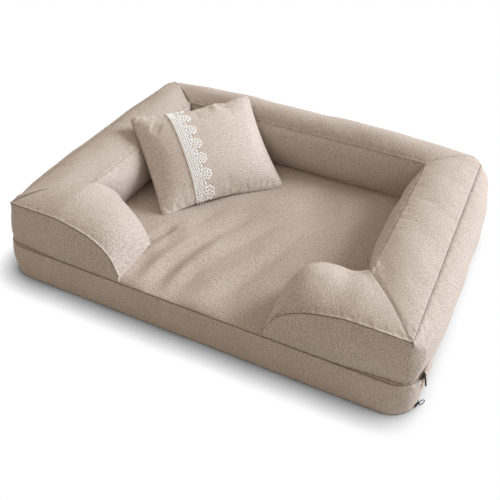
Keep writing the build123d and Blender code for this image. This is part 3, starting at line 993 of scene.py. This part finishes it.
# %% [markdown]
# ## Mattress
#
# A flat slab with a boxed edge: top panel, side band and underside. The top is a
# grid whose corners follow the rounded outline. Its rows are closest in the open
# well and at the front seam, where they are seen. The slab is soft, so the top rises
# a little between the bolsters and creases where a dog has lain.

# %% Mattress top
corner_radius = 0.060
band_bulge = 0.005
seam_x, seam_y = base_high.x - band_bulge, base_high.y - band_bulge


def rounded_grid(half_x, half_y, radius, xs, ys):
    """Square table of places mapped onto a rectangle with round corners."""
    points = np.zeros((len(ys), len(xs), 2))
    for j, y in enumerate(ys):
        for i, x in enumerate(xs):
            px, py = abs(x) - (half_x - radius), abs(y) - (half_y - radius)
            if px > 0 and py > 0:
                reach = max(px, py)
                turn = math.pi / 4 * (py / px if px >= py else 2 - px / py)
                px, py = reach * math.cos(turn), reach * math.sin(turn)
                points[j, i] = (
                    math.copysign(half_x - radius + px, x),
                    math.copysign(half_y - radius + py, y),
                )
            else:
                points[j, i] = (x, y)
    return points


under_bolster = 0.01
front_steps = np.array((0, 0.002, 0.0045, 0.007, 0.010, 0.0135, 0.017))
columns_x = np.concatenate((
    np.linspace(-seam_x, -inner_x - under_bolster, 22, endpoint=False),
    np.linspace(-inner_x - under_bolster, inner_x + under_bolster, 190),
    np.linspace(inner_x + under_bolster, seam_x, 23)[1:],
))
rows_y = np.concatenate((
    -seam_y + front_steps,
    np.linspace(-seam_y + 0.021, inner_back_y + under_bolster, 168),
    np.linspace(inner_back_y + under_bolster, seam_y, 20)[1:],
))
top_flat = rounded_grid(seam_x, seam_y, corner_radius - band_bulge, columns_x, rows_y)
well_reach, front_reach, front_power = 0.09, 0.03, 2.4
side_room, rear_room = 0.004, 0.006


def well_share(x, y):
    """One in the open well, falling to nothing under the bolster and at the front seam."""
    side = np.clip((inner_x - side_room - np.abs(x)) / well_reach, 0, 1)
    rear = np.clip((inner_back_y - rear_room - y) / well_reach, 0, 1)
    front = np.clip((y + seam_y) / front_reach, 0, 1)
    return (1 - (1 - side) ** 2) * (1 - (1 - rear) ** 2) * (1 - (1 - front) ** front_power)


print("mattress top", top_flat.shape)

# %% Folds of the mattress, from the left wing to the right arm
mattress_folds = (
    crease(((-0.192, -0.262), (-0.169, -0.199), (-0.154, -0.164), (-0.140, -0.120)), 0.011, -0.0130),
    crease(((-0.150, -0.250), (-0.135, -0.190), (-0.105, -0.100)), 0.013, 0.0060),
    crease(((-0.143, -0.330), (-0.140, -0.239), (-0.121, -0.128), (-0.073, -0.007)), 0.012, -0.0050),
    crease(((-0.118, -0.325), (-0.112, -0.235), (-0.085, -0.120)), 0.011, 0.0045),
    crease(((-0.092, -0.322), (-0.080, -0.223), (-0.052, -0.119), (-0.002, 0.001)), 0.013, -0.0060),
    crease(((-0.065, -0.325), (-0.058, -0.240), (-0.020, -0.110)), 0.013, 0.0052),
    crease(((-0.040, -0.322), (-0.025, -0.227), (0.021, -0.100), (0.06, 0.0)), 0.014, -0.0044),
    crease(((0.000, -0.310), (0.030, -0.210), (0.080, -0.080)), 0.017, 0.0042),
    crease(((0.033, -0.318), (0.069, -0.200), (0.116, -0.050)), 0.014, -0.0044),
    crease(((0.120, -0.300), (0.128, -0.220), (0.145, -0.149)), 0.016, -0.0040),
    crease(((0.024, -0.079), (0.090, 0.020), (0.160, 0.150)), 0.032, -0.0040),
    crease(((-0.040, -0.020), (0.040, 0.080), (0.100, 0.190)), 0.030, 0.0040),
)
print("folds on the mattress", len(mattress_folds))

# %% Height of the mattress top
mattress_crown = 0.006
fold_gain = 1.6
dent_height, dent_wave = 0.0022, 0.12
dent_stretch = np.array(((0.94, 0.34), (-0.12, 0.36)))
edge_sink, edge_reach = 0.0015, 0.003


def top_height(flat, edge):
    well = well_share(flat[:, 0], flat[:, 1])
    height = base_height + mattress_crown * well
    for fold in mattress_folds:
        height += fold(flat) * np.clip(well * fold_gain, 0, 1)
    height += dent_height * well * ripple(flat @ dent_stretch, 5, dent_wave)
    return height - edge_sink * np.exp(-edge / edge_reach)


print("mattress crown", mattress_crown)

# %% Mattress cover
band_rows = 16
band_wave_height, band_wave = 0.0011, 0.09
underside_inset, underside_drop = 0.03, 0.36
# The third slot holds the top's darker cloth, which is painted shade
linen_slot, underside_slot, painted_shade_slot = 0, 1, 2


def corner_gap(flat):
    """Distance from the top seam, along the straight sides and round the corners."""
    x, y = np.abs(flat[:, 0]), np.abs(flat[:, 1])
    straight = np.minimum(seam_x - x, seam_y - y)
    in_corner = (x > seam_x - corner_radius) & (y > seam_y - corner_radius)
    radius = corner_radius - band_bulge
    rounded = radius - np.hypot(x - (seam_x - radius), y - (seam_y - radius))
    return np.maximum(np.where(in_corner, rounded, straight), 0)


def base_cover():
    """Top grid, side band and underside in one closed mesh."""
    ny, nx, _ = top_flat.shape
    flat = top_flat.reshape(-1, 2)
    border = [(0, i) for i in range(nx)] + [(j, nx - 1) for j in range(1, ny)]
    border += [(ny - 1, i) for i in range(nx - 2, -1, -1)] + [(j, 0) for j in range(ny - 2, 0, -1)]
    ring = np.array([j * nx + i for j, i in border])
    edge = corner_gap(flat)
    heights = top_height(flat, edge)
    points = [np.column_stack((flat, heights))]
    gap = [edge]
    edge_points = flat[ring]
    tangent = np.roll(edge_points, -1, axis=0) - np.roll(edge_points, 1, axis=0)
    outward = np.stack((tangent[:, 1], -tangent[:, 0]), 1)
    outward /= np.linalg.norm(outward, axis=1)[:, None]
    steps = np.linalg.norm(np.roll(edge_points, -1, axis=0) - edge_points, axis=1)
    round_place = np.concatenate(((0,), np.cumsum(steps)))
    shares = crowded(np.arange(1, band_rows + 1) / band_rows)
    for share in shares:
        fullness = 4 * share * (1 - share)
        along = np.stack((round_place[:-1], np.full(len(ring), share * base_height)), 1)
        gap_here = np.full(len(ring), base_height * min(share, 1 - share))
        proud = band_bulge * fullness + band_wave_height * ripple(along, 9, band_wave) * min(1, fullness)
        proud = proud + seam_relief(gap_here, along, 15) * (share < 1)
        level = heights[ring] * (1 - share)
        points.append(np.column_stack((edge_points + outward * proud[:, None], level)))
        gap.append(gap_here)
    inset = edge_points - outward * underside_inset
    points.append(np.column_stack((inset, np.zeros(len(ring)))))
    gap.append(np.full(len(ring), underside_inset))
    faces, corner_map, slots = [], [], []
    for j in range(ny - 1):
        for i in range(nx - 1):
            face = [j * nx + i, j * nx + i + 1, (j + 1) * nx + i + 1, (j + 1) * nx + i]
            faces.append(face)
            corner_map.extend([tuple(flat[v]) for v in face])
            slots.append(painted_shade_slot)
    size, total = len(flat), len(ring)
    rings = [list(ring)] + [[size + k * total + i for i in range(total)] for k in range(band_rows + 1)]
    drop = (0.0, *shares, shares[-1] + underside_drop)
    for k in range(band_rows + 1):
        for i in range(total):
            n = (i + 1) % total
            faces.append([rings[k][i], rings[k + 1][i], rings[k + 1][n], rings[k][n]])
            low, high = drop[k] * base_height, drop[k + 1] * base_height
            start, end = round_place[i], round_place[i + 1]
            corner_map.extend([(start, -low), (start, -high), (end, -high), (end, -low)])
            slots.append(underside_slot if k == band_rows else linen_slot)
    faces.append(rings[-1][::-1])
    points = np.concatenate(points)
    corner_map.extend([tuple(points[v][:2]) for v in rings[-1][::-1]])
    slots.append(underside_slot)
    cloths = [bed_linen, underside_cloth, painted_shade_linen]
    return new_piece("mattress_cover", points, faces, corner_map, np.concatenate(gap), cloths, slots)


mattress = facing_out(base_cover())
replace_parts(mattress, "base_foam", "base_top_panel", "base_side_band", "base_zip_band", "base_bottom_panel")
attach(mattress, "bed")
print("mattress", len(mattress.data.polygons))

# %% [markdown]
# ## Pillow
#
# A knife-edge pillow of two panels, sewn round and stuffed, so its sides draw in
# and its corners stay sharp. It leans on the inner corner of the bolster. Its rim is
# drawn flat first, on its own axes, and then both panels rise from that rim.

# %% Pillow outline
pillow_width, pillow_height = 0.291, 0.243
pillow_front_bulge, pillow_back_bulge = 0.048, 0.042
pillow_centre = np.array((-0.171, 0.071, 0.1572))
pillow_turn, pillow_tilt = math.radians(51), math.radians(34)
pillow_x = np.array((math.cos(pillow_turn), math.sin(pillow_turn), 0))
pillow_z = np.array((
    math.sin(pillow_turn) * math.sin(pillow_tilt),
    -math.cos(pillow_turn) * math.sin(pillow_tilt),
    math.cos(pillow_tilt),
))
pillow_y = np.cross(pillow_z, pillow_x)
pillow_corner, corner_power = 0.007, 14
pillow_slack = 0.0065
pillow_top_sag = (
    (-1, -0.6, -0.03, 0.2, 0.37, 0.53, 0.8, 1),
    (0, -0.013, -0.018, -0.015, -0.010, -0.015, -0.006, 0),
)
pillow_foot_lift = ((-1, -0.7, -0.45, 0.1, 0.55, 1), (0, 0.009, 0.013, 0.013, 0.005, 0))
pillow_left_waist, pillow_right_waist = 0.004, 0.011
pillow_ear = 0.006


def pillow_place(u, v):
    """Flat place on the sewn panel of shares from -1 to 1, its sides drawn in as seen."""
    blunt = pillow_corner * np.abs(u * v) ** corner_power
    waist = 1 - v**2
    x = u * (pillow_width / 2 + pillow_slack - blunt)
    x = x + pillow_left_waist * waist * ((1 - u) / 2) ** 2 - pillow_right_waist * waist * ((1 + u) / 2) ** 2
    y = v * (pillow_height / 2 + pillow_slack - blunt)
    y = y + np.interp(u, *pillow_top_sag) * ((1 + v) / 2) ** 2
    y = y + np.interp(u, *pillow_foot_lift) * ((1 - v) / 2) ** 2
    ear = pillow_ear * (np.clip(-u, 0, 1) * np.clip(-v, 0, 1)) ** 3
    return x - ear, y - ear


def in_room(x, y, z):
    """Places in the bed of places on the leaning pillow."""
    across, upwards = np.multiply.outer(x, pillow_x), np.multiply.outer(y, pillow_y)
    return pillow_centre + across + upwards + np.multiply.outer(z, pillow_z)


print("pillow stands at", pillow_centre)

# %% Pillow cover
pillow_folds = (
    crease(((0.053, 0.112), (0.064, 0.100), (0.080, 0.092)), 0.005, -0.0040),
    crease(((0.040, 0.110), (0.050, 0.090)), 0.008, 0.0030),
    crease(((-0.118, 0.082), (-0.095, 0.066)), 0.020, -0.0035),
)
pillow_columns, pillow_rows = 110, 92
stuffed_power = 0.56
cloth_rise = 0.0016
relief_start, fold_start = 0.006, 0.01


def pillow_cover():
    """Two stuffed panels that share their rim."""
    nu, nv = pillow_columns, pillow_rows
    u, v = np.meshgrid(*(2 * crowded(np.arange(n + 1) / n) - 1 for n in (nu, nv)))
    x, y = pillow_place(u, v)
    rim = np.zeros(u.shape, dtype=bool)
    rim[0], rim[-1], rim[:, 0], rim[:, -1] = True, True, True, True
    edge = np.minimum(pillow_width / 2 * (1 - np.abs(u)), pillow_height / 2 * (1 - np.abs(v)))
    edge_points = np.stack((x, y), 2).reshape(-1, 2)
    faces, corner_map, points, gap = [], [], [], []
    number = {}
    for layer, (bulge, sign, seed) in enumerate(((pillow_front_bulge, 1, 41), (pillow_back_bulge, -1, 47))):
        rise = sign * (bulge * np.clip((1 - u**2) * (1 - v**2), 0, 1) ** stuffed_power + cloth_rise)
        relief = seam_relief(edge.ravel(), edge_points, seed).reshape(u.shape)
        rise = rise + sign * relief * (~rim) * np.minimum(edge / relief_start, 1)
        if layer == 0:
            for fold in pillow_folds:
                rise = rise + fold(np.stack((x, y), 2)) * np.minimum(edge / fold_start, 1)
        rise[rim] = 0
        room = in_room(x, y, rise)
        for j in range(nv + 1):
            for i in range(nu + 1):
                if layer == 1 and rim[j, i]:
                    number[(1, j, i)] = number[(0, j, i)]
                    continue
                number[(layer, j, i)] = len(points)
                points.append(room[j, i])
                gap.append(edge[j, i])
        for j in range(nv):
            for i in range(nu):
                around = [(j, i), (j, i + 1), (j + 1, i + 1), (j + 1, i)]
                if layer == 1:
                    around = around[::-1]
                faces.append([number[(layer, *k)] for k in around])
                corner_map.extend([(x[k] + layer, y[k]) for k in around])
    return new_piece("pillow_cover", points, faces, corner_map, gap, [pillow_linen])


pillow_hold, pillow_growth, pillow_furthest = 0.0015, 0.007, 0.003
pillow = facing_out(pillow_cover())
moved = settle(pillow, seam_hold(pillow, pillow_hold), pillow_growth, pillow_furthest)
print("pillow moved", round(moved, 4))
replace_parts(pillow, "pillow_front_panel", "pillow_back_panel", "pillow_filling")
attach(pillow, "pillow")
print("pillow", len(pillow.data.polygons))

# %% [markdown]
# The lace is a cotton band of cords. Its body is four straight cords laced together
# by zigzags, small loops edge the left side, and a flower of seven loops stands on
# the right side in each repeat. One repeat is drawn flat as thin lines. A node group
# repeats it along the band, drops it onto the stuffed pillow and makes the cords.

# %% Cord and lace node groups
cord_inputs = (
    ("Cord radius", "NodeSocketFloat"),
    ("Cord sides", "NodeSocketInt"),
    ("Cotton", "NodeSocketMaterial"),
)
ray_length = 0.3


def geometry_group(name, inputs):
    """Geometry Nodes group that takes and gives geometry."""
    shape = ("Geometry", "NodeSocketGeometry")
    return new_group(name, "GeometryNodeTree", (shape, *inputs, *cord_inputs), (shape,))


def give(tree, geometry, cloth):
    """End a tree with real geometry in its own material."""
    real = add_node(tree, "GeometryNodeRealizeInstances", {"Geometry": geometry})
    paint = add_node(tree, "GeometryNodeSetMaterial", {"Geometry": real, "Material": cloth})
    add_node(tree, "NodeGroupOutput", {"Geometry": paint})
    return tree


def cord_tubes():
    """Lines become round closed cords."""
    tree, given = geometry_group("cord_tubes", ())
    lines = add_node(tree, "GeometryNodeMeshToCurve", {"Mesh": given["Geometry"]})
    size = {"Radius": given["Cord radius"], "Resolution": given["Cord sides"]}
    ring = add_node(tree, "GeometryNodeCurvePrimitiveCircle", size)
    parts = {"Curve": lines, "Profile Curve": ring, "Fill Caps": True}
    return give(tree, add_node(tree, "GeometryNodeCurveToMesh", parts), given["Cotton"])


def laid_lace(cord_tree):
    """A flat repeat becomes a band of cords that lies on the stuffed ground."""
    tree, given = geometry_group("laid_lace", (
        ("Repeats", "NodeSocketInt"),
        ("Pitch", "NodeSocketVector"),
        ("Heading", "NodeSocketVector"),
        ("Lift", "NodeSocketFloat"),
        ("Ground", "NodeSocketObject"),
    ))
    places = add_node(tree, "GeometryNodeMeshLine", {"Count": given["Repeats"], "Offset": given["Pitch"]})
    repeats = {"Points": places, "Instance": given["Geometry"]}
    copies = add_node(tree, "GeometryNodeInstanceOnPoints", repeats)
    flat = add_node(tree, "GeometryNodeRealizeInstances", {"Geometry": copies})
    ground = add_node(tree, "GeometryNodeObjectInfo", {"Object": given["Ground"]}).outputs["Geometry"]
    drop = {"Target Geometry": ground, "Ray Direction": given["Heading"], "Ray Length": ray_length}
    ray = add_node(tree, "GeometryNodeRaycast", drop).outputs
    missed = add_node(tree, "FunctionNodeBooleanMath", {0: ray["Is Hit"]}, operation="NOT")
    kept = add_node(tree, "GeometryNodeDeleteGeometry", {"Geometry": flat, "Selection": missed})
    lift = {0: ray["Hit Normal"], "Scale": given["Lift"]}
    lift = add_node(tree, "ShaderNodeVectorMath", lift, operation="SCALE")
    laid = {"Geometry": kept, "Position": ray["Hit Position"], "Offset": lift}
    laid = {"Geometry": add_node(tree, "GeometryNodeSetPosition", laid)}
    laid.update({name: given[name] for name, _ in cord_inputs})
    return give(tree, add_node(tree, "GeometryNodeGroup", laid, node_tree=cord_tree), given["Cotton"])


cord_tree = cord_tubes()
lace_tree = laid_lace(cord_tree)
print("node groups", cord_tree.name, lace_tree.name)

# %% Lines through a node group
def made_from_lines(name, lines, tree, settings):
    """Run lines, each a list of points and whether it closes, through a node group."""
    points, edges = [], []
    for line, closed in lines:
        first = len(points)
        points.extend(tuple(p) for p in line)
        edges.extend((first + i, first + i + 1) for i in range(len(line) - 1))
        if closed:
            edges.append((first + len(line) - 1, first))
    mesh = bpy.data.meshes.new(name)
    mesh.from_pydata(points, edges, [])
    piece = bpy.data.objects.new(name, mesh)
    bpy.context.collection.objects.link(piece)
    maker = piece.modifiers.new("maker", "NODES")
    maker.node_group = tree
    for socket in tree.interface.items_tree:
        if socket.in_out == "INPUT" and socket.name in settings:
            maker[socket.identifier] = settings[socket.name]
    piece.update_tag()
    solved = piece.evaluated_get(bpy.context.evaluated_depsgraph_get())
    made = bpy.data.meshes.new_from_object(solved)
    piece.modifiers.remove(maker)
    piece.data = made
    made.polygons.foreach_set("use_smooth", [True] * len(made.polygons))
    return piece


print("line maker ready")

# %% One repeat of the lace, flat
lace_pitch = 0.036
straight_cords = (-0.0195, -0.0135, -0.0075, -0.0022)
zigzags = ((-0.0165, 0.0024), (-0.0105, 0.0024), (-0.0048, 0.0020))
edge_loops, edge_loop_place, edge_loop_radius = 6, -0.0207, 0.0021
flower_out, flower_eye, petals = 0.0105, 0.0028, 7
petal_place, petal_long, petal_short = 0.0072, 0.0034, 0.0024
rim_place, rim_swing = 0.0112, 0.0009
leaf_out, leaf_place, leaf_long, leaf_short, leaf_turn = 0.0020, 0.0135, 0.0046, 0.0021, 0.9


def oval(x, y, long, short, turn, count):
    """Closed loop round a place, its long side turned."""
    steps = 2 * np.pi * np.arange(count) / count
    a, b = long * np.cos(steps), short * np.sin(steps)
    cos, sin = math.cos(turn), math.sin(turn)
    return np.stack((x + a * cos - b * sin, y + a * sin + b * cos), 1)


def lace_repeat():
    """Lines of one repeat, with x across the band and y along it, and whether each closes."""
    half = lace_pitch / 2
    lines = [(np.array([(x, y) for y in np.linspace(-half, half, 13)]), False) for x in straight_cords]
    steps = np.linspace(-half, half, 49)
    for middle, swing in zigzags:
        wave = middle + swing * np.sin(2 * np.pi * steps / (lace_pitch / edge_loops))
        lines.append((np.stack((wave, steps), 1), False))
    for i in range(edge_loops):
        y = -half + lace_pitch * (i + 0.5) / edge_loops
        lines.append((oval(edge_loop_place, y, edge_loop_radius, edge_loop_radius, 0, 8), True))
    lines.append((oval(flower_out, 0, flower_eye, flower_eye, 0, 12), True))
    for i in range(petals):
        turn = 2 * math.pi * (i + 0.5) / petals
        x, y = flower_out + petal_place * math.cos(turn), petal_place * math.sin(turn)
        lines.append((oval(x, y, petal_long, petal_short, turn, 12), True))
    turns = 2 * np.pi * np.arange(56) / 56
    reach = rim_place + rim_swing * np.cos(petals * (turns - math.pi / petals))
    lines.append((np.stack((flower_out + reach * np.cos(turns), reach * np.sin(turns)), 1), True))
    for side in (-1, 1):
        lines.append((oval(leaf_out, side * leaf_place, leaf_long, leaf_short, side * leaf_turn, 12), True))
    return lines


print("lines in a repeat", len(lace_repeat()))

# %% Lace band
lace_offset, lace_start, lace_high = -0.0475, -0.101, 0.12
lace_repeats = 7
lace_lift = 0.0010
cord_radius = 0.00108
lace_lines = [
    (in_room(line[:, 0] + lace_offset, line[:, 1] + lace_start, np.full(len(line), lace_high)), closed)
    for line, closed in lace_repeat()
]
lace_cotton = new_material("lace_cotton", {
    "Base Color": (0.95, 0.96, 0.975, 1),
    "Roughness": 0.85,
    "Specular IOR Level": 0.15,
})
lace = facing_out(made_from_lines("lace_band", lace_lines, lace_tree, {
    "Repeats": lace_repeats,
    "Pitch": tuple(pillow_y * lace_pitch),
    "Heading": tuple(-pillow_z),
    "Lift": lace_lift,
    "Ground": pillow,
    "Cord radius": cord_radius,
    "Cord sides": 6,
    "Cotton": lace_cotton,
}))
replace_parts(lace, "pillow_lace")
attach(lace, "pillow")
print("lace", len(lace.data.polygons))

# %% [markdown]
# ## Zips
#
# Sliders, stops and pulls are hard parts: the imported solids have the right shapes
# already, and only need their metal and plastic. The coils and tapes come after them.

# %% Hard parts
zip_cloth = new_material("zip_cloth", {"Base Color": (0.30, 0.24, 0.20, 1), "Roughness": 0.8})
dark_metal = new_material("dark_metal", {
    "Base Color": (0.035, 0.032, 0.030, 1),
    "Roughness": 0.35,
    "Metallic": 1.0,
})
pull_plastic = new_material("pull_plastic", {
    "Base Color": (0.012, 0.011, 0.011, 1),
    "Roughness": 0.6,
    "Specular IOR Level": 0.2,
})
metal_parts = [f"{side}_zip_{part}" for side in ("base", "bolster") for part in ("stops", "slider")]
hard_parts = dict.fromkeys([*metal_parts, "base_zip_pull_ring"], dark_metal)
hard_parts["bolster_zip_pull_bar"] = pull_plastic
for node, material in hard_parts.items():
    for slot in bpy.data.objects[node].material_slots:
        slot.link = "OBJECT"
        slot.material = material
print("hard parts", len(hard_parts))

# %% [markdown]
# A coil zip is a flattened spiral of nylon sewn to a woven tape. The spiral is one
# line through the cord group, and the tape is a strip with rounded edges. One mesh
# holds both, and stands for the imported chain.

# %% Zip chains
coil_pitch = 0.0018
coil_wire = 0.00034
tape_thickness = 0.0008
stop_length = 0.003
turn_steps = 8
coil_half_width = 0.0023
tape_rows = 41
tape_profile = ((-1, -0.93), (-0.6, -1), (0.6, -1), (1, -0.93), (1, 0.93), (0.6, 1), (-0.6, 1), (-1, 0.93))
far_from_seams = 0.03


def coil_line(low, high):
    """Spiral in the coil's room, which ends short of the stops."""
    start, end = low.y + stop_length + coil_wire, high.y - stop_length - coil_wire
    count = int((end - start) / coil_pitch * turn_steps)
    steps = np.arange(count + 1) / turn_steps
    half_out = (high.x - low.x - tape_thickness) / 2 - coil_wire
    middle = (low.x + tape_thickness + high.x) / 2
    half_wide = coil_half_width - coil_wire
    level = (low.z + high.z) / 2
    return np.stack((
        middle + half_out * np.cos(2 * np.pi * steps),
        start + steps * coil_pitch,
        level + half_wide * np.sin(2 * np.pi * steps),
    ), 1)


def tape_strip(low, high, first):
    """Points and faces of a closed tape with eight sides, numbered from first on."""
    half = (high.z - low.z) / 2
    level = (high.z + low.z) / 2
    thick = tape_thickness / 2
    ring = [(thick + thick * a, level + half * b) for a, b in tape_profile]
    rows = np.linspace(low.y, high.y, tape_rows)
    points = [(low.x + x, y, z) for y in rows for x, z in ring]
    count = len(ring)
    corners = ((0, 0), (0, 1), (1, 1), (1, 0))
    faces = [
        [first + (r + down) * count + (i + over) % count for down, over in corners]
        for r in range(len(rows) - 1)
        for i in range(count)
    ]
    last = (len(rows) - 1) * count
    faces.append([first + i for i in range(count)][::-1])
    faces.append([first + last + i for i in range(count)])
    return points, faces


for zip_name in ("base", "bolster"):
    low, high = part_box(f"{zip_name}_zip_chain")
    coil = made_from_lines(f"{zip_name}_coil", [(coil_line(low, high), False)], cord_tree, {
        "Cord radius": coil_wire,
        "Cord sides": 5,
        "Cotton": zip_cloth,
    })
    points = [tuple(v.co) for v in coil.data.vertices]
    faces = [list(f.vertices) for f in coil.data.polygons]
    bpy.data.objects.remove(coil)
    tape_points, tape_faces = tape_strip(low, high, len(points))
    points, faces = points + tape_points, faces + tape_faces
    corners = [(0, 0)] * sum(len(f) for f in faces)
    gap = [far_from_seams] * len(points)
    chain = new_piece(f"{zip_name}_zip_tape", points, faces, corners, gap, [zip_cloth])
    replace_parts(facing_out(chain), f"{zip_name}_zip_chain")
    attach(chain, "bed")
    print(chain.name, len(faces))
